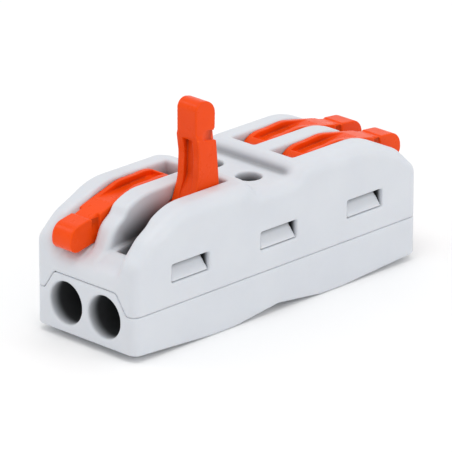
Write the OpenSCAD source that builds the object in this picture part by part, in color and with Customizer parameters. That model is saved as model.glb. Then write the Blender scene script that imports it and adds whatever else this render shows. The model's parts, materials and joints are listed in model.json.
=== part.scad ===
// Two-pole lever splice connector for electrical wires, with a clamp at each end of each pole.
// Millimetres. X runs along the wires, Y across the poles (left is +Y), Z up. The origin is
// under the middle of the housing, at the level that the housing rests on.

/* [Housing] */
// Length over the two end faces
body_len = 41; // [41:0.1:43]
// Width over the two side faces
body_w = 14.1; // [14:0.1:15]
// Height of the flat top of the cover
body_h = 14.6; // [14.5:0.1:15.2]
// Height of the joint between base and cover
split_z = 4.75; // [4.7:0.05:4.9]
// Radius of the four upright corners
corner_r = 1; // [0.8:0.1:2]
// Rise of the underside at its two ends and in its middle
belly_rise = 0.7; // [0.5:0.05:1]
// Distance between the two poles
pole_pitch = 5.44; // [5.4:0.02:5.6]

/* [Wire entries] */
// Diameter of the bore that takes the insulated wire
entry_d = 4.5; // [4:0.1:4.6]
// Diameter of the guide that takes the bared conductor
guide_d = 3; // [2.4:0.1:3]
// Height of the wire axis
wire_z = 3.85; // [3.8:0.05:3.9]

/* [Levers] */
// Width of a lever's arm
arm_w = 3; // [2.6:0.1:3]
// Width of a lever's head
head_w = 2.7; // [2.3:0.05:2.8]
// Width of the slot that a lever lies in
slot_w = 3.2; // [3.2:0.05:3.3]
// Distance of a lever's pivot from the middle of the housing
pivot_x = 9; // [9:0.05:9.1]
// Height of a lever's pivot
pivot_z = 11.6; // [11.6:0.05:11.7]
// Diameter of a lever's trunnions
trunnion_d = 2.4; // [1.6:0.1:2.4]
// Radial clearance of a trunnion in its bearing
running_gap = 0.05; // [0.02:0.01:0.1]
// Full swing of a lever, from closed to open, in degrees
swing = 102; // [90:1:102]
// Angle at which the two rear levers stand in the rest pose, in degrees
rear_rest = 5; // [0:1:10]

/* [Contacts] */
// Width of a conductor bar
bar_w = 4.2; // [3.6:0.1:4.2]
// Thickness of a conductor bar
bar_t = 0.8; // [0.6:0.05:0.8]
// Width of a clamp spring's strip
spring_w = 3.9; // [3.7:0.1:4]
// Thickness of a clamp spring's strip
spring_t = 0.35; // [0.3:0.05:0.35]
// Degrees that a spring's jaw turns for each degree of its lever
jaw_ratio = 0.196; // [0.15:0.002:0.196]

/* [Hidden] */
$fn = 64;
eps = 0.01;
arc_steps = 10;

half_len = body_len / 2;
half_w = body_w / 2;
pole_y = pole_pitch / 2;
front = -1;
rear = 1;
left = 1;
right = -1;

// Slots and the walls between them
slot_in = pole_y - slot_w / 2;
slot_out = pole_y + slot_w / 2;
slot_end_x = 4.7;
haunch_x = 18.3;
haunch_z = body_h - 2.25;
shoulder_z = body_h - 4.5;
brow_x = 13.6;
pad_in_x = 17;
pad_z = 9.62;
pad_drop = 0.72;
nose_x = 18.9;
rail_w = 0.55;

// Chambers inside the cover
fit_gap = 0.05;
chamber_in_x = 3.2;
chamber_out_x = 13.9;
chamber_w = 4.4;
chamber_top = 9.5;
well_floor_z = 7.6;

// Channel across the top and the two test holes in it
channel_z = body_h - 1.2;
channel_foot = 3;
channel_top = 3.2;
test_d = 2.7;

// Raised part of the base round the wire entries
block_top_z = 6.8;
block_top_y = 4.35;
block_foot_y = 5.77;
block_in_x = 13.95;
guide_in_x = 13.3;
guide_out_x = 14.6;
mouth = 0.3;

// Latches that join the base to the cover
latch_pitch = 12.58;
window_len = 5.22;
window_z0 = 7.15;
window_z1 = 9.1;
lug_len = 4.9;
arm_y0 = 4.95;
arm_y1 = 5.95;

// Conductor bar and clamp spring
bar_z0 = 5.4;
bar_z1 = bar_z0 + bar_t;
bar_tip_x = 13.4;
bar_wide_x = 10.6;
bar_tip_w = 2.6;
bend_x = 5;
bend_ro = 1.5;
bend_ri = bend_ro - spring_t;
bend_z = bar_z1 + bend_ro;
jaw_x = 12.8;
jaw_bend_r = 0.9;
jaw_foot_z = 4.35;
window_w = 3;
window_top_x = 11.4;

// Cam on a lever's hub, as radii at directions round the pivot
cam_start = 270;
cam_peak = 146;
cam_back = 84;
cam_r0 = 2.28;
cam_r1 = 3.4;
cam_r2 = 2.8;
cam_step = 4;

// Bearings, well, pits and rests
trunnion_len = 0.7;
bearing_depth = 0.8;
pit_in_x = 10.45;
pit_floor_z = 1.6;
channel_in_x = 6;
rest_w = 0.6;
rest_x = 10.3;

// Unit vector from a to b
function toward(a, b) = (b - a) / norm(b - a);

// The smaller turn from direction a to direction b, in degrees
function turn(a, b) = let (d = (b - a) % 360) d > 180 ? d - 360 : d < -180 ? d + 360 : d;

// One corner of an outline, p = [x, y, radius] between its neighbours a and b, as an arc
function corner(a, p, b) =
    let (v = [p.x, p.y],
         u = toward(v, [a.x, a.y]),
         w = toward(v, [b.x, b.y]),
         half = acos(u * w) / 2,
         c = v + toward([0, 0], u + w) * p.z / sin(half),
         s = v + u * p.z / tan(half) - c,
         e = v + w * p.z / tan(half) - c,
         a0 = atan2(s.y, s.x),
         da = turn(a0, atan2(e.y, e.x)))
    [for (k = [0 : arc_steps]) let (t = a0 + da * k / arc_steps) c + p.z * [cos(t), sin(t)]];

// An outline from its corners, each [x, y, radius]
function rounded(v) =
    [for (i = [0 : len(v) - 1])
        each v[i].z > 0
            ? corner(v[(i + len(v) - 1) % len(v)], v[i], v[(i + 1) % len(v)])
            : [[v[i].x, v[i].y]]];

// An outline symmetric about the vertical axis, from the corners of its right half
function both_halves(v) =
    concat(v, [for (i = [len(v) - 1 : -1 : 0]) if (abs(v[i].x) > eps) [-v[i].x, v[i].y, v[i].z]]);

// A side outline (x along X, y along Z) with thickness from y0 to y1
module side(y0, y1) {
    translate([0, y1, 0])
        rotate([90, 0, 0])
            linear_extrude(y1 - y0)
                children();
}

// A block from its two opposite corners
module block(a, b) {
    translate(a)
        cube(b - a);
}

// Repeats a shape at both ends
module both_ends() {
    for (m = [0, 1])
        mirror([m, 0, 0])
            children();
}

// Repeats a shape on both poles, with the pole's middle plane at y = 0
module both_poles() {
    for (m = [0, 1])
        mirror([0, m, 0])
            translate([0, pole_y, 0])
                children();
}

// ---------------------------------------------------------------- housing outlines

// Outline of the housing from above, between two heights
module plan(z0, z1) {
    corners = [[half_len, half_w, corner_r], [half_len, -half_w, corner_r]];
    translate([0, 0, z0])
        linear_extrude(z1 - z0)
            polygon(rounded(concat(corners, -1 * [for (c = corners) [c.x, c.y, -c.z]])));
}

// One cheek from above, with rounded ends
module cheek_plan(z0, z1) {
    nose_r = min(0.7, half_w - slot_out - corner_r - 0.02);
    translate([0, 0, z0])
        linear_extrude(z1 - z0)
            polygon(rounded([[-half_len, slot_out, nose_r], [half_len, slot_out, nose_r],
                             [half_len, half_w, corner_r], [-half_len, half_w, corner_r]]));
}

// Outer side outline of the cover, with round shoulders
module cover_outline() {
    polygon(rounded(both_halves([[brow_x, body_h, 7.7], [haunch_x, haunch_z, 3],
                                 [half_len, shoulder_z, 1.5], [half_len, split_z, 0]])));
}

// Side outline of the wall between the slots, set back from the end faces
module middle_outline() {
    polygon(rounded(both_halves([[12.1, body_h, 7], [17.3, body_h - 2.25, 2.5],
                                 [nose_x, pad_z - pad_drop, 0]])));
}

// Side outline of the low front that the levers' heads rest over
module pad_outline() {
    polygon(rounded(both_halves([[pad_in_x, pad_z, 0], [half_len, pad_z - pad_drop, 0.9],
                                 [half_len, split_z, 0]])));
}

// Side outline of the base, with a belly that rests on two flats
module base_outline() {
    polygon(rounded([[-half_len, split_z, 0], [-half_len, belly_rise, 0.2], [-8.6, 0, 0],
                     [-6.4, 0, 0], [0, belly_rise, 1], [6.4, 0, 0], [8.6, 0, 0],
                     [half_len, belly_rise, 0.2], [half_len, split_z, 0]]));
}

// Cross-section of the raised block at a wire entry, grown by gap
module block_outline(gap) {
    polygon([[-block_foot_y - gap, split_z - 1], [-block_foot_y - gap, split_z],
             [-block_top_y - gap, block_top_z + gap], [block_top_y + gap, block_top_z + gap],
             [block_foot_y + gap, split_z], [block_foot_y + gap, split_z - 1]]);
}

// The raised block at the rear end, grown by gap
module entry_block(x0, x1, gap) {
    translate([x0, 0, 0])
        rotate([90, 0, 90])
            linear_extrude(x1 - x0)
                block_outline(gap);
}

// ---------------------------------------------------------------- base

// Wire entry of one pole at the rear end: mouth, insulation bore and conductor guide
module entry_bore() {
    translate([guide_out_x, 0, wire_z])
        rotate([0, 90, 0])
            cylinder(h = half_len, d = entry_d);
    translate([channel_in_x, 0, wire_z])
        rotate([0, 90, 0])
            cylinder(h = guide_out_x, d = guide_d);
    translate([half_len - mouth, 0, wire_z])
        rotate([0, 90, 0])
            cylinder(h = 2 * mouth, d1 = entry_d, d2 = entry_d + 4 * mouth);
}

// Latch arm with its wedge, on the left side
module latch_arm() {
    block([-lug_len / 2, arm_y0, split_z - eps], [lug_len / 2, arm_y1, window_z1 - fit_gap]);
    translate([-lug_len / 2, 0, 0])
        rotate([90, 0, 90])
            linear_extrude(lug_len)
                polygon([[arm_y1 - eps, window_z0 + fit_gap], [half_w - fit_gap, window_z0 + fit_gap],
                         [arm_y1 - eps, window_z1 - fit_gap]]);
}

module base() {
    color("#d8d9dc")
        difference() {
            union() {
                intersection() {
                    side(-half_w, half_w)
                        base_outline();
                    plan(-eps, split_z);
                }
                both_ends() {
                    intersection() {
                        entry_block(block_in_x, half_len, 0);
                        plan(0, body_h);
                    }
                }
                both_poles() {
                    for (s = [left, right]) {
                        y = s * (guide_d / 2 + rest_w / 2);
                        block([-rest_x, y - rest_w / 2, split_z - eps], [rest_x, y + rest_w / 2, bar_z0]);
                    }
                }
                for (m = [0, 1], k = [-1 : 1])
                    mirror([0, m, 0])
                        translate([k * latch_pitch, 0, 0])
                            latch_arm();
            }
            both_ends() {
                both_poles() {
                    entry_bore();
                    block([pit_in_x, -chamber_w / 2, pit_floor_z], [guide_in_x, chamber_w / 2, split_z + 1]);
                    block([guide_in_x - eps, -chamber_w / 2, bar_z0 - fit_gap],
                          [bar_tip_x + 2 * fit_gap, chamber_w / 2, block_top_z + 1]);
                }
            }
        }
}

// ---------------------------------------------------------------- cover

// Everything cut from the cover at the rear end for one pole
module lever_bay() {
    // Slot for the lever, open at the top and the end
    side(-slot_w / 2, slot_w / 2)
        polygon([[slot_end_x, chamber_top - eps], [chamber_out_x, chamber_top - eps],
                 [chamber_out_x, pad_z + 0.75], [15, pad_z + 0.58], [pad_in_x + 0.6, pad_z + 0.13],
                 [pad_in_x + 0.7, pad_z - 0.144], [half_len + 1, pad_z - pad_drop - 0.206],
                 [half_len + 1, body_h + 1], [slot_end_x, body_h + 1]]);
    // Well between the two rails in front of the chamber
    block([chamber_out_x - eps, rail_w - slot_w / 2, well_floor_z],
          [pad_in_x, slot_w / 2 - rail_w, body_h]);
    // Chamber for the clamp spring
    block([chamber_in_x, -chamber_w / 2, split_z - 1], [chamber_out_x, chamber_w / 2, chamber_top]);
    // Blind bearings for the trunnions
    translate([pivot_x, slot_w / 2 + bearing_depth, pivot_z])
        rotate([90, 0, 0])
            cylinder(h = slot_w + 2 * bearing_depth, d = trunnion_d + 2 * running_gap);
}

// Channel across the top
module channel_cut() {
    side(-half_w - 1, half_w + 1)
        polygon(rounded([[-channel_top - 0.8, body_h + 1, 0], [-channel_top - 0.4, body_h, 0],
                         [-channel_top, body_h - 0.4, 0.4], [-channel_foot, channel_z, 0.2],
                         [channel_foot, channel_z, 0.2], [channel_top, body_h - 0.4, 0.4],
                         [channel_top + 0.4, body_h, 0], [channel_top + 0.8, body_h + 1, 0]]));
}

// Pocket and window for one latch arm, on the left side
module latch_cut() {
    block([-lug_len / 2 - fit_gap, arm_y0 - fit_gap, split_z - 1],
          [lug_len / 2 + fit_gap, arm_y1 + fit_gap, window_z1]);
    block([-window_len / 2, arm_y0, window_z0], [window_len / 2, half_w + 1, window_z1]);
}

module top_cover() {
    color("#dcdde0")
        difference() {
            union() {
                // Two cheeks
                for (m = [0, 1])
                    mirror([0, m, 0])
                        intersection() {
                            side(slot_out, half_w)
                                cover_outline();
                            cheek_plan(split_z, body_h);
                        }
                // Low front under the levers' heads
                intersection() {
                    side(-half_w, half_w)
                        pad_outline();
                    plan(split_z, body_h);
                }
                // Middle wall and the block under the channel
                side(-slot_in, slot_in)
                    middle_outline();
                block([-slot_end_x, -slot_out - eps, split_z], [slot_end_x, slot_out + eps, body_h]);
            }
            // Rounded long edges of the flat top
            for (m = [0, 1])
                mirror([0, m, 0])
                    translate([0, half_w - 1.4, body_h - 1.4])
                        difference() {
                            block([-body_len, 0, 0], [body_len, 2, 2]);
                            rotate([0, 90, 0])
                                cylinder(h = 3 * body_len, r = 1.4, center = true);
                        }
            channel_cut();
            both_ends() {
                entry_block(block_in_x - fit_gap, half_len + 1, fit_gap);
                both_poles()
                    lever_bay();
            }
            both_poles() {
                // Test hole, and the seat of the conductor bar under it
                translate([0, 0, bar_z0])
                    cylinder(h = body_h, d = test_d);
                block([-chamber_in_x - 1, -bar_w / 2 - fit_gap, split_z - 1],
                      [chamber_in_x + 1, bar_w / 2 + fit_gap, bar_z1 + fit_gap]);
            }
            for (m = [0, 1], k = [-1 : 1])
                mirror([0, m, 0])
                    translate([k * latch_pitch, 0, 0])
                        latch_cut();
        }
}

// ---------------------------------------------------------------- contacts

// Conductor bar of one pole, narrower where it passes through the jaws
module conductor_bar(side_of) {
    color("#c4c0b4")
        translate([0, side_of * pole_y, 0]) {
            block([-bar_wide_x, -bar_w / 2, bar_z0], [bar_wide_x, bar_w / 2, bar_z1]);
            both_ends()
                block([bar_wide_x - eps, -bar_tip_w / 2, bar_z0], [bar_tip_x, bar_tip_w / 2, bar_z1]);
        }
}

// Places a shape made for the rear end and the pole's middle plane at one clamp
module at_clamp(end, side_of) {
    translate([0, side_of * pole_y, 0])
        mirror([end == front ? 1 : 0, 0, 0])
            children();
}

// Fixed half of a clamp spring: a leg on the bar and the bend above its inner end
module spring_bow(end, side_of) {
    color("#aeb4ba")
        at_clamp(end, side_of)
            side(-spring_w / 2, spring_w / 2) {
                translate([bend_x, bar_z1])
                    square([bar_wide_x - bend_x, spring_t]);
                translate([bend_x, bend_z])
                    difference() {
                        circle(bend_ro);
                        circle(bend_ri);
                        translate([0, -2 * bend_ro])
                            square(4 * bend_ro);
                    }
            }
}

// Outline of the moving half: the arm under the cam and the leg that hangs from it
module jaw_outline() {
    top = bend_z + bend_ro;
    outer = [[bend_x, top, 0], [jaw_x, top, jaw_bend_r], [jaw_x, jaw_foot_z, 0]];
    inner = [[jaw_x - spring_t, jaw_foot_z, 0],
             [jaw_x - spring_t, top - spring_t, jaw_bend_r - spring_t],
             [bend_x, top - spring_t, 0]];
    polygon(rounded(concat(outer, inner)));
}

// Moving half of a clamp spring, with a window that the bar and the conductor pass through
module spring_jaw(end, side_of, lever_angle) {
    color("#aeb4ba")
        at_clamp(end, side_of)
            translate([bend_x, 0, bend_z])
                rotate([0, jaw_ratio * lever_angle, 0])
                    translate([-bend_x, 0, -bend_z])
                        difference() {
                            side(-spring_w / 2, spring_w / 2)
                                jaw_outline();
                            block([window_top_x, -window_w / 2, bar_z0 - fit_gap],
                                  [jaw_x + 1, window_w / 2, bend_z + bend_ro + 1]);
                        }
}

// ---------------------------------------------------------------- levers

// Radius of the cam at direction a: a slow spiral under the hub and a round back
function cam_radius(a) =
    a > cam_peak
        ? cam_r0 + (cam_r1 - cam_r0) * (cam_start - a) / (cam_start - cam_peak)
        : cam_r2 + (cam_r1 - cam_r2) * (1 - cos(180 * (a - cam_back) / (cam_peak - cam_back))) / 2;

// Side outline of the hub, with its cam, about the pivot
module hub_outline() {
    polygon([[0.9, -0.4], [0.9, 0.6],
             for (a = [cam_back : cam_step : cam_start]) cam_radius(a) * [cos(a), sin(a)],
             cam_r0 * [cos(cam_start), sin(cam_start)]]);
}

// Side outline of the arm and head, about the pivot, pointing along +X
module arm_outline() {
    polygon(rounded([[-1, 2.8, 0], [2.9, 2.78, 5], [7.3, 1.47, 1], [8.6, 1.03, 0.6],
                     [9.17, 0.8, 0.05], [9.22, 0.93, 0.1], [12.03, 0.42, 1.5], [11.97, -2.38, 1],
                     [8.3, -1.6, 2], [6.3, -0.88, 4], [3.6, -0.46, 4], [0.9, -0.85, 0.3],
                     [-1, -0.85, 0]]));
}

// One lever, closed when angle is 0
module lever(end, side_of, angle) {
    neck_x = 8;
    pocket_end_x = 9;
    pocket_depth = 0.25;
    top_groove_w = 1.84;
    under_groove_w = 1.3;
    color("#ff6430")
        at_clamp(end, side_of)
            translate([pivot_x, 0, pivot_z])
                rotate([0, -angle, 0]) {
                    difference() {
                        union() {
                            side(-arm_w / 2, arm_w / 2)
                                union() {
                                    hub_outline();
                                    intersection() {
                                        arm_outline();
                                        translate([-2, -4])
                                            square([neck_x + 2, 8]);
                                    }
                                }
                            side(-head_w / 2, head_w / 2)
                                arm_outline();
                        }
                        // Pockets in both sides of the neck
                        for (s = [left, right])
                            translate([0, s * head_w / 2, 0])
                                side(-pocket_depth, pocket_depth)
                                    polygon([[neck_x, -0.6], [pocket_end_x, -0.75],
                                             [pocket_end_x + 0.1, 2], [neck_x + 0.1, 2]]);
                        // Groove along the top of the arm
                        side(-top_groove_w / 2, top_groove_w / 2)
                            polygon([[-1.7, 2.2], [0.5, 2.18], [6.2, 1.81], [6.2, 4], [-1.7, 4]]);
                        // Groove along the underside of the arm
                        side(-under_groove_w / 2, under_groove_w / 2)
                            polygon(rounded([[1, -0.8, 0], [4, 0.05, 2], [7.85, -0.66, 0], [7.85, -3, 0],
                                             [1, -3, 0]]));
                    }
                    // Trunnions
                    rotate([90, 0, 0])
                        cylinder(h = arm_w + 2 * trunnion_len, d = trunnion_d, center = true);
                }
}

module left_conductor_bar() conductor_bar(left);
module right_conductor_bar() conductor_bar(right);
module front_left_spring_bow() spring_bow(front, left);
module front_right_spring_bow() spring_bow(front, right);
module rear_left_spring_bow() spring_bow(rear, left);
module rear_right_spring_bow() spring_bow(rear, right);
module front_left_spring_jaw() spring_jaw(front, left, 0);
module front_right_spring_jaw() spring_jaw(front, right, swing);
module rear_left_spring_jaw() spring_jaw(rear, left, rear_rest);
module rear_right_spring_jaw() spring_jaw(rear, right, rear_rest);
module front_left_lever() lever(front, left, 0);
module front_right_lever() lever(front, right, swing);
module rear_left_lever() lever(rear, left, rear_rest);
module rear_right_lever() lever(rear, right, rear_rest);

base();
top_cover();
left_conductor_bar();
right_conductor_bar();
front_left_spring_bow();
front_right_spring_bow();
rear_left_spring_bow();
rear_right_spring_bow();
front_left_spring_jaw();
front_right_spring_jaw();
rear_left_spring_jaw();
rear_right_spring_jaw();
front_left_lever();
front_right_lever();
rear_left_lever();
rear_right_lever();
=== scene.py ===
import json
import math
from itertools import product

import bpy
import numpy as np
from mathutils import Matrix, Vector


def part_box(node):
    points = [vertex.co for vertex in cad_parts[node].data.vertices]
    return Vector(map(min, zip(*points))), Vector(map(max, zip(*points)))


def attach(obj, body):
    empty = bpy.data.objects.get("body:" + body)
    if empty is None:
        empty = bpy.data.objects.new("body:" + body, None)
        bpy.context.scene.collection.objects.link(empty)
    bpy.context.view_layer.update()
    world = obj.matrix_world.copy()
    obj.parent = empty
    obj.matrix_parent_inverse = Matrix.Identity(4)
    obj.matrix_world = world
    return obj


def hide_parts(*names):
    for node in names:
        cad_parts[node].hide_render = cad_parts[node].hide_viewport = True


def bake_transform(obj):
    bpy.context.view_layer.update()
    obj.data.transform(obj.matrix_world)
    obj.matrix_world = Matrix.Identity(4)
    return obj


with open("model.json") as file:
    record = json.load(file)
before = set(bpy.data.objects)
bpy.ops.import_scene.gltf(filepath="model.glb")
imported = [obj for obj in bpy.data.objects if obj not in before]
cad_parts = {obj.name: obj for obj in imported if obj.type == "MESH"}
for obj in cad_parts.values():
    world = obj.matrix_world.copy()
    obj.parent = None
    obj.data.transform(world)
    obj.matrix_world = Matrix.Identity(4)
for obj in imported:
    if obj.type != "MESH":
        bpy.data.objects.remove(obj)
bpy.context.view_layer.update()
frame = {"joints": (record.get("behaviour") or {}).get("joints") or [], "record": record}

# A two-pole lever splice connector. Lengths are in millimetres until a mesh is made; only the
# lights are placed in metres. Each piece is a signed distance field, negative inside, meshed by
# a surface net. X runs along the wires, Y across the poles, Z up. The housing is the same at
# both ends and on both sides, so its fields are written for x >= 0 and y >= 0 and then mirrored.
# The shapes of one clamp (lever, spring, cuts round a pole) are written at the rear end.

MM = 0.001
FAR = 30  # beyond the part on every side


# ---------------------------------------------------------------- sizes from the frame

def box_mm(node):
    low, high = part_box(node)
    return np.array(low) / MM, np.array(high) / MM


def joint(name):
    return next(j for j in frame["joints"] if j["name"] == name)


COVER_LOW, COVER_HIGH = box_mm("top_cover")
BASE_LOW, _ = box_mm("base")
BAR_LOW, BAR_HIGH = box_mm("left_conductor_bar")
HALF_LEN, HALF_W, TOP_Z = COVER_HIGH
SPLIT_Z = COVER_LOW[2]
PIVOT = np.array(joint("rear_left_lever_hinge")["pos_m"]) / MM
BEND = np.array(joint("rear_left_jaw_flex")["pos_m"]) / MM
POLE_Y = PIVOT[1]
WIRE_ENTRY = next(m for m in frame["record"]["mounts"] if "wire_entry" in m["name"])
WIRE_Z = WIRE_ENTRY["pos_m"][2] / MM

# Degrees from a closed lever to an open one, and each lever's angle at rest
SWING = 102.0
REST_ANGLE = {"front_left": 0.0, "front_right": SWING, "rear_left": 5.0, "rear_right": 5.0}
JAW_RATIO = frame["record"]["behaviour"]["couplings"][0]["ratio"]

SLOT_HALF = 1.6
SLOT_OUT = POLE_Y + SLOT_HALF
LATCH_PITCH = 12.58
LATCHES = (0.0, LATCH_PITCH)


# ---------------------------------------------------------------- outlines and fields

NO_LENGTH = 1e-12  # square of a side too short to have a direction


def corner_arc(before, corner, after, radius, steps=12):
    """Points on the arc that rounds a corner between its two neighbours."""
    v = np.array(corner, float)
    u = np.array(before, float) - v
    w = np.array(after, float) - v
    u /= np.linalg.norm(u)
    w /= np.linalg.norm(w)
    half = math.acos(np.clip(u @ w, -1, 1)) / 2
    mid = (u + w) / np.linalg.norm(u + w)
    centre = v + mid * radius / math.sin(half)
    start = v + u * radius / math.tan(half) - centre
    end = v + w * radius / math.tan(half) - centre
    a = math.atan2(start[1], start[0])
    turn = (math.atan2(end[1], end[0]) - a + math.pi) % (2 * math.pi) - math.pi
    angles = [a + turn * k / steps for k in range(steps + 1)]
    return [centre + radius * np.array([math.cos(t), math.sin(t)]) for t in angles]


def outline(corners):
    """A closed outline from corners (x, z) or (x, z, radius)."""
    points = []
    for i, c in enumerate(corners):
        before, after = corners[i - 1], corners[(i + 1) % len(corners)]
        if len(c) > 2 and c[2] > 0:
            points += corner_arc(before[:2], c[:2], after[:2], c[2])
        else:
            points.append(np.array(c[:2], float))
    return np.array(points)


def inside_outline(points, px, pz):
    """Signed distance to a closed outline, negative inside."""
    px, pz = np.broadcast_arrays(np.asarray(px, float), np.asarray(pz, float))
    nearest = np.full(px.shape, np.inf)
    odd = np.zeros(px.shape, bool)
    for (ax, az), (bx, bz) in zip(points, np.roll(points, -1, axis=0)):
        dx, dz = bx - ax, bz - az
        square = dx * dx + dz * dz
        if square < NO_LENGTH:
            continue
        t = np.clip(((px - ax) * dx + (pz - az) * dz) / square, 0, 1)
        nearest = np.minimum(nearest, (px - ax - t * dx) ** 2 + (pz - az - t * dz) ** 2)
        if az != bz:
            crosses = (az > pz) != (bz > pz)
            odd ^= crosses & (px < dx * (pz - az) / dz + ax)
    return np.where(odd, -1, 1) * np.sqrt(nearest)


def both(a, b, r=0.0):
    """The part inside both a and b, with its new edges rounded to radius r."""
    if np.ndim(r) == 0 and r <= 0:
        return np.maximum(a, b)
    u = np.maximum(a + r, 0)
    v = np.maximum(b + r, 0)
    return np.minimum(np.maximum(a, b), -r) + np.sqrt(u * u + v * v)


def either(a, b, r=0.0):
    """The part inside a or b, with a fillet of radius r between them."""
    return -both(-a, -b, r)


def cut(a, b, r=0.0):
    """The part inside a and outside b."""
    return both(a, -b, r)


def slab(v, low, high):
    """The part between two planes."""
    return np.maximum(low - v, v - high)


def block(x, y, z, low, high, r=0.0):
    """A box with rounded edges."""
    q = [np.abs(v - (l + h) / 2) - (h - l) / 2 + r for v, l, h in zip((x, y, z), low, high)]
    outside = np.sqrt(sum(np.maximum(c, 0) ** 2 for c in q))
    return outside + np.minimum(np.maximum(np.maximum(q[0], q[1]), q[2]), 0) - r


def smooth_step(v, low, high):
    """Rises from 0 at low to 1 at high without a kink."""
    t = np.clip((v - low) / (high - low), 0, 1)
    return t * t * (3 - 2 * t)


# ---------------------------------------------------------------- meshing

CORNERS = list(product((0, 1), repeat=3))
CUBE_EDGES = [(i, j) for i, j in product(range(8), repeat=2)
              if i < j and sum(abs(a - b) for a, b in zip(CORNERS[i], CORNERS[j])) == 1]
PULLS = 2  # times that each vertex is pulled on to the surface
LONGEST_PULL = 0.45  # in grid steps
FLATTEST = 0.25  # smallest square of a slope that a pull divides by


def sample(field, at):
    """Values of a grid at points given in grid steps, between its nodes by trilinear weights."""
    just_inside = np.array(field.shape[:3]) - 1.001
    at = np.clip(at, 0, just_inside)
    base = at.astype(int)
    part = at - base
    total = 0
    for c in CORNERS:
        weight = np.prod(np.where(np.array(c), part, 1 - part), axis=1)
        value = field[base[:, 0] + c[0], base[:, 1] + c[1], base[:, 2] + c[2]]
        total = total + (value.T * weight).T
    return total


def surface_net(field, low, step):
    """Vertices, faces and normals of the zero surface of a grid of distances."""
    field = field / step
    sign = field < 0
    n = np.array(field.shape) - 1
    view = [sign[i:n[0] + i, j:n[1] + j, k:n[2] + k] for i, j, k in CORNERS]
    mixed = np.logical_or.reduce(view) & ~np.logical_and.reduce(view)
    cells = np.argwhere(mixed)
    number = np.full(mixed.shape, -1)
    number[mixed] = np.arange(len(cells))
    value = np.stack([field[cells[:, 0] + i, cells[:, 1] + j, cells[:, 2] + k]
                      for i, j, k in CORNERS], 1)
    total = np.zeros((len(cells), 3))
    count = np.zeros(len(cells))
    for i, j in CUBE_EDGES:
        a, b = value[:, i], value[:, j]
        crossed = (a < 0) != (b < 0)
        t = a[crossed] / (a[crossed] - b[crossed])
        start, end = np.array(CORNERS[i], float), np.array(CORNERS[j], float)
        total[crossed] += start + t[:, None] * (end - start)
        count[crossed] += 1
    verts = cells + total / count[:, None]
    slope = np.stack(np.gradient(field), axis=-1)
    for _ in range(PULLS):
        g = sample(slope, verts)
        size = np.maximum((g * g).sum(1), FLATTEST)
        pull = (sample(field, verts) / size)[:, None] * g
        verts -= np.clip(pull, -LONGEST_PULL, LONGEST_PULL)
    normal = sample(slope, verts)
    normal /= np.maximum(np.linalg.norm(normal, axis=1), 1e-9)[:, None]
    faces = []
    for axis in range(3):
        u, v = (axis + 1) % 3, (axis + 2) % 3
        first = [slice(None)] * 3
        second = [slice(None)] * 3
        first[axis], second[axis] = slice(0, -1), slice(1, None)
        a, b = sign[tuple(first)], sign[tuple(second)]
        edges = np.argwhere(a != b)
        keep = (edges[:, u] > 0) & (edges[:, v] > 0) & (edges[:, u] < n[u]) & (edges[:, v] < n[v])
        edges = edges[keep]
        out = a[tuple(edges.T)]
        quad = []
        for du, dv in ((-1, -1), (0, -1), (0, 0), (-1, 0)):
            cell = edges.copy()
            cell[:, u] += du
            cell[:, v] += dv
            quad.append(number[tuple(cell.T)])
        quad = np.stack(quad, 1)
        quad[~out] = quad[~out][:, ::-1]
        faces.append(quad)
    return verts * step + low, np.concatenate(faces), normal


def grid(low, high, step):
    """Three open axes of a grid from low to high."""
    axes = [np.arange(int(math.floor(l / step)), int(math.ceil(h / step)) + 1) * step
            for l, h in zip(low, high)]
    shape = [(-1, 1, 1), (1, -1, 1), (1, 1, -1)]
    return [a.reshape(s) for a, s in zip(axes, shape)], np.array([a[0] for a in axes])


def mirrored(field, axis):
    """Adds the other half of a field whose first layer along axis lies on the mirror plane."""
    other = np.flip(field, axis)
    trimmed = np.delete(other, -1, axis)
    return np.concatenate([trimmed, field], axis)


def quarter_net(make, high, low_z, step):
    """Meshes a shape that is the same on both sides of x = 0 and y = 0, up to (x, y, z) high."""
    (x, y, z), low = grid((0, 0, low_z), high, step)
    field = np.broadcast_to(make(x, y, z), (x.size, y.size, z.size)).astype(np.float32)
    field = mirrored(mirrored(field, 0), 1)
    return surface_net(field, np.array([-x.max(), -y.max(), low[2]]), step)


def half_net(make, low, high, step):
    """Meshes a shape that is the same on both sides of y = 0, from (x, z) low to (x, y, z) high."""
    (x, y, z), start = grid((low[0], 0, low[1]), high, step)
    field = np.broadcast_to(make(x, y, z), (x.size, y.size, z.size)).astype(np.float32)
    field = mirrored(field, 1)
    return surface_net(field, np.array([start[0], -y.max(), start[2]]), step)


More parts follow.
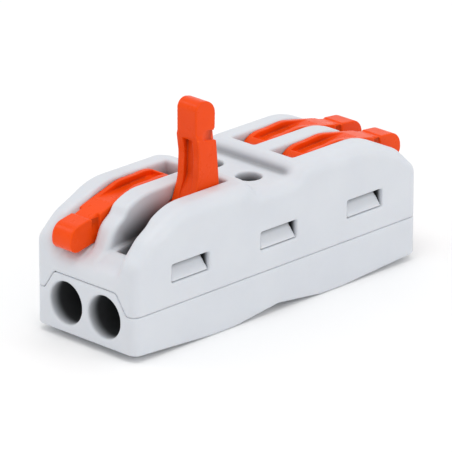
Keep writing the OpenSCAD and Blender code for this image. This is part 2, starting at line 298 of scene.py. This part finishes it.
def add_piece(name, net, material, place=None, painted_shade=None):
    """A mesh object from a net, moved by a 4 by 4 matrix in millimetres.

    The last argument gives each point's painted shade in a cavity, from 0 to 1: the material paints it
    as a darker colour where light would not reach.
    """
    verts, faces, normal = net
    if place is not None:
        turn = np.array(place)[:3, :3]
        verts = verts @ turn.T + np.array(place)[:3, 3]
        normal = normal @ turn.T
        if np.linalg.det(turn) < 0:
            faces = faces[:, ::-1]
    mesh = bpy.data.meshes.new(name)
    mesh.vertices.add(len(verts))
    mesh.vertices.foreach_set("co", (verts * MM).astype(np.float32).ravel())
    mesh.loops.add(faces.size)
    mesh.loops.foreach_set("vertex_index", faces.astype(np.int32).ravel())
    mesh.polygons.add(len(faces))
    mesh.polygons.foreach_set("loop_start", np.arange(0, faces.size, 4, dtype=np.int32))
    mesh.update(calc_edges=True)
    mesh.validate()
    mesh.polygons.foreach_set("use_smooth", np.ones(len(mesh.polygons), bool))
    mesh.normals_split_custom_set_from_vertices(normal.astype(np.float32))
    # Painted shade: how much darker each point of a cavity is painted is stored on the mesh
    if painted_shade is not None:
        layer = mesh.attributes.new("painted_shade", "FLOAT", "POINT")
        layer.data.foreach_set("value", painted_shade(*net[0].T).astype(np.float32))
    mesh.materials.append(material)
    piece = bpy.data.objects.new(name, mesh)
    bpy.context.scene.collection.objects.link(piece)
    return piece


# ---------------------------------------------------------------- the cover

WALL_R = 1.5  # edge between the top and a side
BODY_CORNER_R = 1.0  # edge between an end and a side
SEAM = 0.01  # half the gap between the two shells
SEAM_R = 0.05
SHELL_ROOM = 0.05  # between the cover and the base's raised blocks
CHANNEL_Z = TOP_Z - 1.2  # floor of the channel across the top
FOOT_X = 3.0  # foot of the channel's walls
BROW_X = 13.6  # where the top starts to fall towards the end
LIP_X, LIP_Z = 18.6, 9.55  # edge where the low front turns down
SLOT_START_X = 4.7
TEST_R, TEST_END_Z = 1.35, 5.4
BEARING_R, BEARING_HALF = 1.25, 2.4
# The raised block round the wire entries: half width at its top and foot, top, inner face
BLOCK_Y, BLOCK_FOOT_Y, BLOCK_Z, BLOCK_X = 4.35, 5.77, 6.8, 13.95

# Low and high corners of the boxes cut at each pole
WELL = (12, -1.05, 7.6), (17.55, 1.05, 12)
CHAMBER = (3.2, -2.2, 3), (13.9, 2.2, 9.5)
BAR_SEAT = (-9, -2.15, 0), (4.2, 2.15, 6.25)

# Low and high corners of the boxes at each latch
LATCH_POCKET = (-2.5, 4.9, 3), (2.5, 6.0, 9.1)
LATCH_WINDOW = (-2.61, 4.9, 7.15), (2.61, 9, 9.1)
LATCH_ARM = (-2.45, 4.95, 4), (2.45, 5.95, 9.05)


def side_outline(foot, foot_r, top, top_r):
    """The cover seen from the side, with the foot and the top of the channel's wall."""
    return outline([(-FAR, CHANNEL_Z), (foot, CHANNEL_Z, foot_r), (top, TOP_Z, top_r),
                    (BROW_X, TOP_Z, 7.7), (18.3, 12.35, 3), (HALF_LEN, 10.1, 1.5),
                    (HALF_LEN, -10), (-FAR, -10)])


SHELL = side_outline(FOOT_X, 0.12, FOOT_X + 0.05, 0.8)
SOFT_SHELL = side_outline(FOOT_X - 0.6, 1.3, FOOT_X + 1.0, 1.6)

# The middle wall between the slots, the low front, and the slots, all seen from the side
INNER = outline([(-FAR, TOP_Z), (12.1, TOP_Z, 7), (17.3, 12.35, 2.5), (LIP_X, LIP_Z - 0.1),
                 (LIP_X + 0.35, 7), (-FAR, 7)])
FRONT_PAD = outline([(16, LIP_Z), (LIP_X, LIP_Z, 0.5), (HALF_LEN - 0.7, 8.98, 1.2),
                     (HALF_LEN + 2, 7.9), (HALF_LEN + 2, FAR), (16, FAR)])
SLOT_FLOOR = outline([(SLOT_START_X, 8), (13.6, 8), (13.6, 10.3), (15, 10.2), (17.1, 10.0),
                      (LIP_X - 0.1, 9.62, 0.2), (HALF_LEN + 2, 7.9), (HALF_LEN + 2, FAR),
                      (SLOT_START_X, FAR)])


def trapezoid(y, z, gap):
    """Inside the raised block round the wire entries, seen along the wires."""
    run, rise = BLOCK_FOOT_Y - BLOCK_Y, BLOCK_Z - SPLIT_Z
    side = ((y - BLOCK_FOOT_Y) * rise + (z - SPLIT_Z) * run) / math.hypot(run, rise)
    side = np.where(z < SPLIT_Z, y - BLOCK_FOOT_Y, side)
    return both(side - gap, z - BLOCK_Z - gap, 0.2)


def cover_field(x, y, z):
    pole = y - POLE_Y
    side_r = BODY_CORNER_R + (WALL_R - BODY_CORNER_R) * smooth_step(z, TOP_Z - 5, TOP_Z - 1.5)
    # The channel's walls soften where they run out into the two sides
    fade = smooth_step(y, 4.6, 6.4)
    profile = inside_outline(SHELL, x, z) * (1 - fade) + inside_outline(SOFT_SHELL, x, z) * fade
    shell = both(profile, y - HALF_W, side_r)
    body = both(shell, SPLIT_Z + SEAM - z, SEAM_R)
    # The recess at each end, with broad round edges on the two cheeks
    scoop = both(inside_outline(FRONT_PAD, x, z), y - SLOT_OUT, 0.7)
    scoop = cut(scoop, inside_outline(INNER, x, z), 0.35)
    body = cut(body, scoop, 0.4 + 1.0 * smooth_step(x, 13.0, 19.0))
    # Slots for the levers, with edges rounder towards the end, and a well under each arm
    slot = both(inside_outline(SLOT_FLOOR, x, z), np.abs(pole) - SLOT_HALF, 0.1)
    body = cut(body, slot, 0.28 + 0.4 * smooth_step(x, 12.5, 18.5))
    body = cut(body, block(x, pole, z, *WELL, 0.15), 0.2)
    # Clamp chambers, open to the base
    body = cut(body, block(x, pole, z, *CHAMBER, 0.3), 0.15)
    # Bearings of the trunnions
    ring = np.hypot(x - PIVOT[0], z - PIVOT[2])
    body = cut(body, both(ring - BEARING_R, np.abs(pole) - BEARING_HALF, 0.1), 0.1)
    # Test holes, and the seat of the conductor bars
    body = cut(body, both(np.hypot(x, pole) - TEST_R, TEST_END_Z - z), 0.15)
    body = cut(body, block(x, pole, z, *BAR_SEAT, 0.1), 0.1)
    # Room for the base's raised blocks
    tunnel = both(trapezoid(y, z, SHELL_ROOM), BLOCK_X - SHELL_ROOM - x, 0.1)
    body = cut(body, tunnel, SEAM_R)
    # Latch pockets and windows
    for centre in LATCHES:
        body = cut(body, block(x - centre, y, z, *LATCH_POCKET, 0.1), 0.1)
        body = cut(body, block(x - centre, y, z, *LATCH_WINDOW, 0.1), 0.16)
    return body


def cover_painted_shade(x, y, z):
    """Painted shade on the cover, from 0 to 1: darker deeper in a slot, a test hole, a window and the
    channel's corner.
    """
    x, y = np.abs(x), np.abs(y)
    pole = np.abs(y - POLE_Y)
    # Painted shade grows with the depth below the surface in the slots and the test holes, and behind a
    # window
    slot = smooth_step(-inside_outline(INNER, x, z), 0.1, 3.2) * (pole < SLOT_HALF + 0.1) * (x > 4.5)
    hole = smooth_step(CHANNEL_Z - z, 0.05, 1.3) * (np.hypot(x, pole) < TEST_R + 0.1)
    along = np.minimum(x, np.abs(x - LATCH_PITCH))
    window = smooth_step(HALF_W - y, 0.3, 0.8) * (along < 2.7) * (y > 4.8) * (z > 7) * (z < 9.2)
    # Painted shade in the corner at the foot of the channel's wall
    corner = 0.5 * smooth_step(1.0 - np.hypot(x - FOOT_X, z - CHANNEL_Z), 0, 1)
    corner = corner * smooth_step(HALF_W - y, 1.0, 2.5)
    return np.maximum(np.maximum(slot, hole) * (x < LIP_X), np.maximum(window, corner))


# ---------------------------------------------------------------- the base

BELLY_RISE = 0.7
BELLY = outline([(-6.3, 0), (0, 0.76, 1), (6.4, 0, 10), (9.5, 0, 20), (HALF_LEN, BELLY_RISE),
                 (HALF_LEN + 2, BELLY_RISE + 0.13), (HALF_LEN + 2, 12), (-6.3, 12)])
BORE_R, BORE_X = 2.25, 14.6  # the insulation's bore and its inner end
GUIDE_R, GUIDE_X = 1.5, 6  # the bared conductor's guide and its inner end
TROUGH_X, TROUGH_Z = 13.5, 5  # outer end and top of the trough
LUG_FOOT_Z, LUG_TOP_Z = 7.2, 9.05
LUG_INSET, LUG_TOP_Y, LUG_BACK_Y = 0.05, 5.9, 5.5  # face at its foot and top, and its back
LUG_HALF, LUG_END_SLANT = 2.55, 0.2

# Low and high corners of the rails under a bar, which stand BAR_RAIL_Y to both sides of its
# middle, of the pit that each clamp's jaw dips into, and of the box whose rounded cut shaves
# the inner face of the outer latch arms beside each bar's end
BAR_RAIL_Y = 1.8
BAR_RAIL = (-1, -0.3, 4), (10.3, 0.3, BAR_LOW[2])
PIT = (10.45, -2.2, 1.6), (13.3, 2.2, 5.8)
SHAVING = (13.2, -2.2, 5.35), (13.5, 2.2, 8)


def latch_wedge(x, y, z):
    """A lug that is flush with the side at its foot and slopes back to its top, with slanted ends."""
    foot_y = HALF_W - LUG_INSET
    slope = (foot_y - LUG_TOP_Y) / (LUG_TOP_Z - LUG_FOOT_Z)
    face = (y - foot_y + (z - LUG_FOOT_Z) * slope) * (1 / math.hypot(1, slope))
    ends = np.abs(x) - LUG_HALF + LUG_END_SLANT * (z - LUG_FOOT_Z)
    wedge = both(both(face, ends, 0.1), slab(z, LUG_FOOT_Z, LUG_TOP_Z), 0.1)
    return both(wedge, LUG_BACK_Y - y)


def base_field(x, y, z):
    pole = y - POLE_Y
    plan = both(x - HALF_LEN, y - HALF_W, BODY_CORNER_R)
    tray = both(inside_outline(BELLY, x, z), plan, 0.2)
    tray = both(tray, z - SPLIT_Z + SEAM, SEAM_R)
    entry = both(trapezoid(y, z, 0), np.maximum(BLOCK_X - x, SPLIT_Z - 1 - z), 0.12)
    entry = both(entry, x - HALF_LEN, SEAM_R)
    body = either(tray, entry)
    body = either(body, block(x, np.abs(pole) - BAR_RAIL_Y, z, *BAR_RAIL, 0.08), 0.1)
    for centre in LATCHES:
        body = either(body, block(x - centre, y, z, *LATCH_ARM, 0.15), 0.2)
        body = either(body, latch_wedge(x - centre, y, z), 0.05)
    # Wire entries: the insulation's bore with a soft mouth, the conductor's guide, and the
    # trough that opens the guide upwards
    ring = np.hypot(pole, z - WIRE_Z)
    body = cut(body, both(ring - BORE_R, BORE_X - x, 0.2), 0.2)
    body = cut(body, both(ring - GUIDE_R, GUIDE_X - x, 0.1), 0.15)
    trough = both(np.abs(pole) - GUIDE_R, slab(z, WIRE_Z, TROUGH_Z))
    body = cut(body, both(trough, slab(x, GUIDE_X, TROUGH_X)), 0.1)
    body = cut(body, block(x, pole, z, *PIT, 0.2), 0.1)
    return cut(body, block(x, pole, z, *SHAVING, 0.05), 0.05)


def base_painted_shade(x, y, z):
    """Painted shade on the base, from 0 to 1: darker deeper in a wire entry and behind a window."""
    x, y = np.abs(x), np.abs(y)
    ring = np.hypot(y - POLE_Y, z - WIRE_Z)
    entry = smooth_step(HALF_LEN - x, 0.05, 1.6) * (ring < BORE_R + 0.07)
    return np.maximum(entry, smooth_step(HALF_W - y, 0.7, 1.2) * (z > 7) * (y > 5.5))


# ---------------------------------------------------------------- a lever

ARM = outline([(-1, 2.8), (2.9, 2.78, 5), (7.3, 1.47, 1), (8.6, 1.03, 0.6), (9.17, 0.8, 0.05),
               (9.22, 0.93, 0.1), (12.03, 0.42, 1.5), (11.97, -2.38, 1.0), (8.3, -1.6, 2),
               (6.3, -0.88, 4), (3.6, -0.46, 4), (0.9, -0.85, 0.3), (-1, -0.85)])
NECK_X = 8.0
LEVER_HALF, HEAD_HALF = 1.5, 1.35
TRUNNION_R, TRUNNION_HALF = 1.2, 2.2
TOP_GROOVE_HALF, UNDER_GROOVE_HALF = 0.92, 0.65
# The cam's angles in degrees, and its radii at them
CAM_START, CAM_PEAK, CAM_BACK = 270, 146, 84
CAM_R0, CAM_R1, CAM_R2 = 2.28, 3.4, 2.8


def cam_radius(a):
    """The cam's radius at an angle in degrees: a straight rise to its peak, then a wave."""
    if a > CAM_PEAK:
        return CAM_R0 + (CAM_R1 - CAM_R0) * (CAM_START - a) / (CAM_START - CAM_PEAK)
    wave = (1 - math.cos(math.pi * (a - CAM_BACK) / (CAM_PEAK - CAM_BACK))) / 2
    return CAM_R2 + (CAM_R1 - CAM_R2) * wave


def cam_point(a):
    return cam_radius(a) * math.cos(math.radians(a)), cam_radius(a) * math.sin(math.radians(a))


HUB = np.array([(0.9, -0.4), (0.9, 0.6)]
               + [cam_point(a) for a in range(CAM_BACK, CAM_START + 1, 2)])
TOP_GROOVE = outline([(-1.7, 2.2), (0.5, 2.18, 3), (6.2, 1.81), (6.2, 5), (-1.7, 5)])
UNDER_GROOVE = outline([(1, -0.8), (4, 0.05, 2), (7.85, -0.66), (7.85, -4), (1, -4)])
POCKET = outline([(8, -0.6), (9, -0.75), (9.02, 2), (8.05, 2)])


def lever_field(x, y, z):
    hub = inside_outline(HUB, x, z)
    arm = inside_outline(ARM, x, z)
    side = np.abs(y)
    half = LEVER_HALF - (LEVER_HALF - HEAD_HALF) * smooth_step(x, NECK_X, NECK_X + 0.6)
    body = both(either(hub, arm, 0.12), side - half, 0.09)
    # Groove along the top, which runs out where the arm slopes down to its floor
    groove = both(inside_outline(TOP_GROOVE, x, z), side - TOP_GROOVE_HALF, 0.03)
    body = cut(body, groove, 0.03)
    # Groove along the underside, square at its outer end
    groove = both(inside_outline(UNDER_GROOVE, x, z), side - UNDER_GROOVE_HALF, 0.03)
    body = cut(body, groove, 0.03)
    # Pockets in both sides of the neck, deeper at their foot
    pocket = both(inside_outline(POCKET, x, z), 1.1 + 0.15 * (1 - z) - side, 0.03)
    body = cut(body, pocket, 0.05)
    return either(body, both(np.hypot(x, z) - TRUNNION_R, side - TRUNNION_HALF, 0.12))


def lever_painted_shade(x, y, z):
    """Painted shade on a lever, from 0 to 1: in its grooves and in the pockets of its neck."""
    side = np.abs(y)
    below = smooth_step(-inside_outline(ARM, x, z), 0.12, 1.0)
    # Painted shade: a groove's walls are painted darker than its floor
    past_top, past_under = side - TOP_GROOVE_HALF, side - UNDER_GROOVE_HALF
    top = below * (z > 0.9) * (past_top < 0.04) * (0.15 + 0.5 * (past_top > -0.08))
    under = below * (z < 0.5) * (past_under < 0.04) * (0.1 + 0.7 * (past_under > -0.08))
    grooves = np.maximum(top, under) * (np.abs(x) < NECK_X)
    # Painted shade in the pockets of the neck
    in_pocket = (x > NECK_X - 0.02) * (x < 9.06) * (z > -0.8) * (z < 0.78) * (side > 1.0)
    pocket = 0.45 * in_pocket * smooth_step(HEAD_HALF - 0.01 - side, 0, 0.2)
    return np.maximum(grooves, pocket)


# ---------------------------------------------------------------- contacts

SPRING_T = 0.35
SPRING_HALF = 1.95
SPRING_EDGE_R = 0.08
BEND_R = 1.5
JAW_X, JAW_LOW_Z, JAW_R = 12.8, 4.35, 0.9
JAW_WINDOW = (11.4, -1.5, 5.35), (14, 1.5, 10)
LEG_END_X = 10.6
BAR_END_X, BAR_HALF, BAR_TIP_HALF = 13.4, 2.1, 1.3


def bar_field(x, y, z):
    """A bar from clamp to clamp, narrower at its two ends where the springs' windows take it."""
    x = np.abs(x)
    half = BAR_HALF - (BAR_HALF - BAR_TIP_HALF) * smooth_step(x, 10.3, 10.9)
    plan = both(y - half, x - BAR_END_X, 0.3)
    return both(plan, slab(z, BAR_LOW[2], BAR_HIGH[2]), 0.1)


def jaw_field(x, y, z):
    """The arm from the bend's top outwards and the jaw that hangs from it, with its window."""
    top = BEND[2] + BEND_R
    inner_x, inner_z = JAW_X - SPRING_T, top - SPRING_T
    line = outline([(BEND[0], top), (JAW_X, top, JAW_R), (JAW_X, JAW_LOW_Z), (inner_x, JAW_LOW_Z),
                    (inner_x, inner_z, JAW_R - SPRING_T), (BEND[0], inner_z)])
    strip = both(inside_outline(line, x, z), np.abs(y) - SPRING_HALF, SPRING_EDGE_R)
    return cut(strip, block(x, y, z, *JAW_WINDOW, 0.1), 0.06)


def bow_field(x, y, z, past):
    """The leg on the bar and the bend, which runs past the top by an angle in degrees."""
    leg = both(slab(z, BAR_HIGH[2], BAR_HIGH[2] + SPRING_T), slab(x, BEND[0], LEG_END_X))
    dx, dz = x - BEND[0], z - BEND[2]
    ring = np.abs(np.hypot(dx, dz) - BEND_R + SPRING_T / 2) - SPRING_T / 2
    a = math.radians(past)
    end = np.where(dz > 0, dx * math.cos(a) - dz * math.sin(a), dx)
    return both(np.minimum(leg, both(ring, end)), np.abs(y) - SPRING_HALF, SPRING_EDGE_R)


# ---------------------------------------------------------------- materials

# Painted shade: the colour is painted down to this share where a cavity is darkest
DARKEST_SHADE_SHARE = 0.07  # share of the colour left at the bottom of a cavity


def new_material(name):
    material = bpy.data.materials.new(name)
    material.use_nodes = True
    nodes = material.node_tree.nodes
    return material, nodes, material.node_tree.links, nodes["Principled BSDF"]


def object_mm(nodes, links):
    """Object coordinates in millimetres."""
    where = nodes.new("ShaderNodeTexCoord")
    scale = nodes.new("ShaderNodeVectorMath")
    scale.operation = "SCALE"
    scale.inputs["Scale"].default_value = 1 / MM
    links.new(where.outputs["Object"], scale.inputs[0])
    return scale.outputs["Vector"]


def noise(nodes, links, where, scale, detail, roughness):
    n = nodes.new("ShaderNodeTexNoise")
    n.inputs["Scale"].default_value = scale
    n.inputs["Detail"].default_value = detail
    n.inputs["Roughness"].default_value = roughness
    links.new(where, n.inputs["Vector"])
    return n.outputs["Fac"]


def remap(nodes, links, value, low, high, new_low, new_high):
    """Stretches the range from low to high on to the new one."""
    m = nodes.new("ShaderNodeMapRange")
    for key, number in zip(("From Min", "From Max", "To Min", "To Max"), (low, high, new_low, new_high)):
        m.inputs[key].default_value = number
    links.new(value, m.inputs["Value"])
    return m.outputs["Result"]


def blend_colours(nodes, links, factor, first, second):
    """A mix of two colours, each a tuple or a node's output."""
    m = nodes.new("ShaderNodeMix")
    m.data_type = "RGBA"
    links.new(factor, m.inputs["Factor"])
    for key, colour in (("A", first), ("B", second)):
        socket = [s for s in m.inputs if s.name == key and s.type == "RGBA"][0]
        if isinstance(colour, tuple):
            socket.default_value = (*colour, 1)
        else:
            links.new(colour, socket)
    return [s for s in m.outputs if s.type == "RGBA"][0]


def bump(nodes, links, height, strength, distance, under=None):
    b = nodes.new("ShaderNodeBump")
    b.inputs["Strength"].default_value = strength
    b.inputs["Distance"].default_value = distance
    links.new(height, b.inputs["Height"])
    if under is not None:
        links.new(under, b.inputs["Normal"])
    return b.outputs["Normal"]


def moulded_plastic(name, colour, cloudy, edge_highlight_colour, rough, grain, glow, shine):
    """Moulded plastic: a fine spark-eroded grain, faint flow marks, sharp edges painted lighter as a
    painted highlight, and cavities painted darker as painted shade.
    """
    material, nodes, links, shader = new_material(name)
    where = object_mm(nodes, links)
    flow = noise(nodes, links, where, scale=0.16, detail=4.0, roughness=0.55)
    fine = noise(nodes, links, where, scale=7.0, detail=3.0, roughness=0.6)
    soft = noise(nodes, links, where, scale=1.3, detail=3.0, roughness=0.5)
    tint = blend_colours(nodes, links, remap(nodes, links, flow, 0.35, 0.65, 0, 1), colour, cloudy)
    # Painted highlight: sharp edges, found by their pointiness, are painted lighter
    shape = nodes.new("ShaderNodeNewGeometry")
    edge = remap(nodes, links, shape.outputs["Pointiness"], 0.53, 0.6, 0, 0.55)
    tint = blend_colours(nodes, links, edge, tint, edge_highlight_colour)
    # Painted shade: points deep in a cavity, as stored on the mesh, are painted towards a dark share of
    # the colour
    painted_shade_node = nodes.new("ShaderNodeAttribute")
    painted_shade_node.attribute_name = "painted_shade"
    dark = tuple(DARKEST_SHADE_SHARE * c for c in colour)
    tint = blend_colours(nodes, links, painted_shade_node.outputs["Fac"], tint, dark)
    links.new(tint, shader.inputs["Base Color"])
    gloss = remap(nodes, links, soft, 0.3, 0.7, rough - 0.05, rough + 0.07)
    links.new(gloss, shader.inputs["Roughness"])
    waves = bump(nodes, links, soft, strength=0.12, distance=0.03 * MM)
    grains = bump(nodes, links, fine, strength=grain, distance=0.01 * MM, under=waves)
    links.new(grains, shader.inputs["Normal"])
    shader.inputs["IOR"].default_value = 1.5
    shader.inputs["Specular IOR Level"].default_value = shine
    shader.inputs["Subsurface Weight"].default_value = glow
    shader.inputs["Subsurface Radius"].default_value = (1.0, 0.7, 0.5)
    shader.inputs["Subsurface Scale"].default_value = 0.6 * MM
    return material


def metal_strip(name, colour, dark, rough):
    """Rolled metal strip: fine lines along the strip and a mottled sheen."""
    material, nodes, links, shader = new_material(name)
    where = object_mm(nodes, links)
    stretch = nodes.new("ShaderNodeVectorMath")
    stretch.operation = "MULTIPLY"
    stretch.inputs[1].default_value = (0.15, 9.0, 1.0)
    links.new(where, stretch.inputs[0])
    lines = noise(nodes, links, stretch.outputs["Vector"], scale=2.2, detail=3.0, roughness=0.6)
    mottle = noise(nodes, links, where, scale=0.7, detail=3.0, roughness=0.5)
    tint = blend_colours(nodes, links, remap(nodes, links, mottle, 0.3, 0.7, 0, 1), colour, dark)
    links.new(tint, shader.inputs["Base Color"])
    gloss = remap(nodes, links, lines, 0.3, 0.7, rough - 0.06, rough + 0.1)
    links.new(gloss, shader.inputs["Roughness"])
    ridges = bump(nodes, links, lines, strength=0.25, distance=0.01 * MM)
    links.new(ridges, shader.inputs["Normal"])
    shader.inputs["Metallic"].default_value = 1.0
    return material


def floor_material():
    material, nodes, links, shader = new_material("pale_floor")
    where = object_mm(nodes, links)
    cloud = noise(nodes, links, where, scale=0.02, detail=2.0, roughness=0.5)
    tint = blend_colours(nodes, links, cloud, (0.93, 0.93, 0.93), (0.95, 0.95, 0.95))
    links.new(tint, shader.inputs["Base Color"])
    shader.inputs["Roughness"].default_value = 0.7
    return material


# The third, paler colour of each plastic is the painted highlight on its sharp edges
GREY = moulded_plastic("housing_plastic", (0.655, 0.68, 0.72), cloudy=(0.63, 0.655, 0.70),
                       edge_highlight_colour=(0.73, 0.75, 0.78), rough=0.42, grain=0.22, glow=0.10, shine=0.4)
ORANGE = moulded_plastic("lever_plastic", (0.87, 0.072, 0.002), cloudy=(0.81, 0.063, 0.002),
                         edge_highlight_colour=(1.0, 0.15, 0.018), rough=0.3, grain=0.07, glow=0.02, shine=0.15)
TIN = metal_strip("tinned_copper", (0.72, 0.70, 0.66), dark=(0.62, 0.60, 0.56), rough=0.32)
STEEL = metal_strip("spring_steel", (0.62, 0.64, 0.67), dark=(0.52, 0.54, 0.57), rough=0.26)


# ---------------------------------------------------------------- pieces

COVER_STEP, BASE_STEP, LEVER_STEP, BAR_STEP, SPRING_STEP = 0.19, 0.175, 0.088, 0.1, 0.085
MARGIN = 0.5  # room between a shell and the edge of its grid
BASE_GRID_TOP = 9.6


def finish_piece(piece, body, slot, *nodes):
    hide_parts(*nodes)
    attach(piece, body)


def build_housing():
    plan = (HALF_LEN + MARGIN, HALF_W + MARGIN)
    net = quarter_net(cover_field, (*plan, TOP_Z + MARGIN), SPLIT_Z - MARGIN, COVER_STEP)
    cover = add_piece("cover_shell", net, GREY, painted_shade=cover_painted_shade)
    finish_piece(cover, "housing", "housing_plastic", "top_cover")
    net = quarter_net(base_field, (*plan, BASE_GRID_TOP), BASE_LOW[2] - MARGIN, BASE_STEP)
    base = add_piece("base_shell", net, GREY, painted_shade=base_painted_shade)
    finish_piece(base, "housing", "housing_plastic", "base")


def clamp_place(end, side, turn_deg=0.0, centre=None):
    """Matrix that moves a shape made at the rear end and on y = 0 to one clamp, turned about Y."""
    move = Matrix.Identity(4)
    if centre is not None:
        move = Matrix.Translation(Vector((centre[0], 0, centre[2])))
        move = move @ Matrix.Rotation(math.radians(turn_deg), 4, "Y")
    flip = Matrix.Diagonal((-1 if end == "front" else 1, 1, 1, 1))
    across = POLE_Y if side == "left" else -POLE_Y
    return Matrix.Translation(Vector((0, across, 0))) @ flip @ move


def build_levers():
    net = half_net(lever_field, (-4.1, -4.1), (12.8, 2.7, 3.9), LEVER_STEP)
    for key, angle in REST_ANGLE.items():
        where = clamp_place(*key.split("_"), -angle, PIVOT)
        piece = add_piece(key + "_lever_arm", net, ORANGE, where, lever_painted_shade)
        finish_piece(piece, key + "_lever", "lever_plastic", key + "_lever")


def build_contacts():
    bar_net = half_net(bar_field, (-13.8, BAR_LOW[2] - 0.3), (13.8, 2.5, BAR_HIGH[2] + 0.3), BAR_STEP)
    jaw_net = half_net(jaw_field, (BEND[0] - 0.3, 4.0), (13.2, 2.3, 9.6), SPRING_STEP)
    jaw_net = (jaw_net[0] - [BEND[0], 0, BEND[2]], *jaw_net[1:])
    for side in ("left", "right"):
        bar = add_piece(side + "_bar_strip", bar_net, TIN, clamp_place("rear", side))
        finish_piece(bar, "housing", "tinned_copper", side + "_conductor_bar")
    for key, angle in REST_ANGLE.items():
        end, side = key.split("_")
        turn = JAW_RATIO * angle
        jaw = add_piece(key + "_jaw_strip", jaw_net, STEEL, clamp_place(end, side, turn, BEND))
        finish_piece(jaw, key + "_jaw", "spring_steel", key + "_spring_jaw")
        bow_net = half_net(lambda x, y, z: bow_field(x, y, z, turn), (3.2, BAR_HIGH[2] - 0.3),
                           (10.9, 2.3, 9.6), SPRING_STEP)
        bow = add_piece(key + "_bow_strip", bow_net, STEEL, clamp_place(end, side))
        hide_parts(key + "_spring_bow")
        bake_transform(bow)


# ---------------------------------------------------------------- camera, light and floor

# The camera's turn and tilt in degrees, the point it looks at, its distance from that point, and
# its focal length
CAMERA_TURN, CAMERA_TILT = -45.447, 20.870
AIM_Z, AIM_RIGHT, AIM_UP = 6.82, -0.347, 0.396
CAMERA_AWAY = 560
CAMERA_LENS = 439.7
FLOOR_DROP = 0.02
SKY_STRENGTH = 0.87


def build_camera():
    turn, tilt = math.radians(CAMERA_TURN), math.radians(CAMERA_TILT)
    right = Vector((math.cos(turn), math.sin(turn), 0))
    back = Vector((math.sin(turn) * math.cos(tilt), -math.cos(turn) * math.cos(tilt), math.sin(tilt)))
    up = back.cross(right)
    target = Vector((0, 0, AIM_Z)) + right * AIM_RIGHT + up * AIM_UP
    data = bpy.data.cameras.new("camera")
    data.sensor_width = 36
    data.lens = CAMERA_LENS
    data.clip_start = 0.01
    camera = bpy.data.objects.new("camera", data)
    camera.matrix_world = Matrix((right, up, back)).transposed().to_4x4()
    camera.location = (target + back * CAMERA_AWAY) * MM
    bpy.context.scene.collection.objects.link(camera)
    bpy.context.scene.camera = camera


def build_light(name, spot, aim, size, power):
    """A round area light. Its place, its aim and its size are in metres."""
    data = bpy.data.lights.new(name, "AREA")
    data.shape = "DISK"
    data.size = size
    data.energy = power
    lamp = bpy.data.objects.new(name, data)
    lamp.location = Vector(spot)
    lamp.rotation_euler = (Vector(spot) - Vector(aim)).to_track_quat("Z", "Y").to_euler()
    bpy.context.scene.collection.objects.link(lamp)


def build_stage():
    # Just below the resting face, so that the two surfaces don't coincide
    bpy.ops.mesh.primitive_plane_add(size=6, location=(0, 0, -FLOOR_DROP * MM))
    floor = bpy.context.object
    floor.name = "floor"
    floor.data.materials.append(floor_material())
    world = bpy.data.worlds.new("studio")
    world.use_nodes = True
    sky = world.node_tree.nodes["Background"]
    sky.inputs["Color"].default_value = (1, 1, 1, 1)
    sky.inputs["Strength"].default_value = SKY_STRENGTH
    bpy.context.scene.world = world
    build_light("key", spot=(-0.08, -0.05, 0.48), aim=(0, 0, 0.006), size=0.25, power=0.5)
    build_light("glance", spot=(-0.22, 0.4, 0.4), aim=(0, 0, 0.01), size=0.12, power=0.2)
    build_light("fill", spot=(0.2, -0.5, 0.3), aim=(0, 0, 0.006), size=0.3, power=0.4)


build_camera()
build_stage()
build_housing()
build_levers()
build_contacts()
bpy.context.scene.view_settings.view_transform = "Standard"
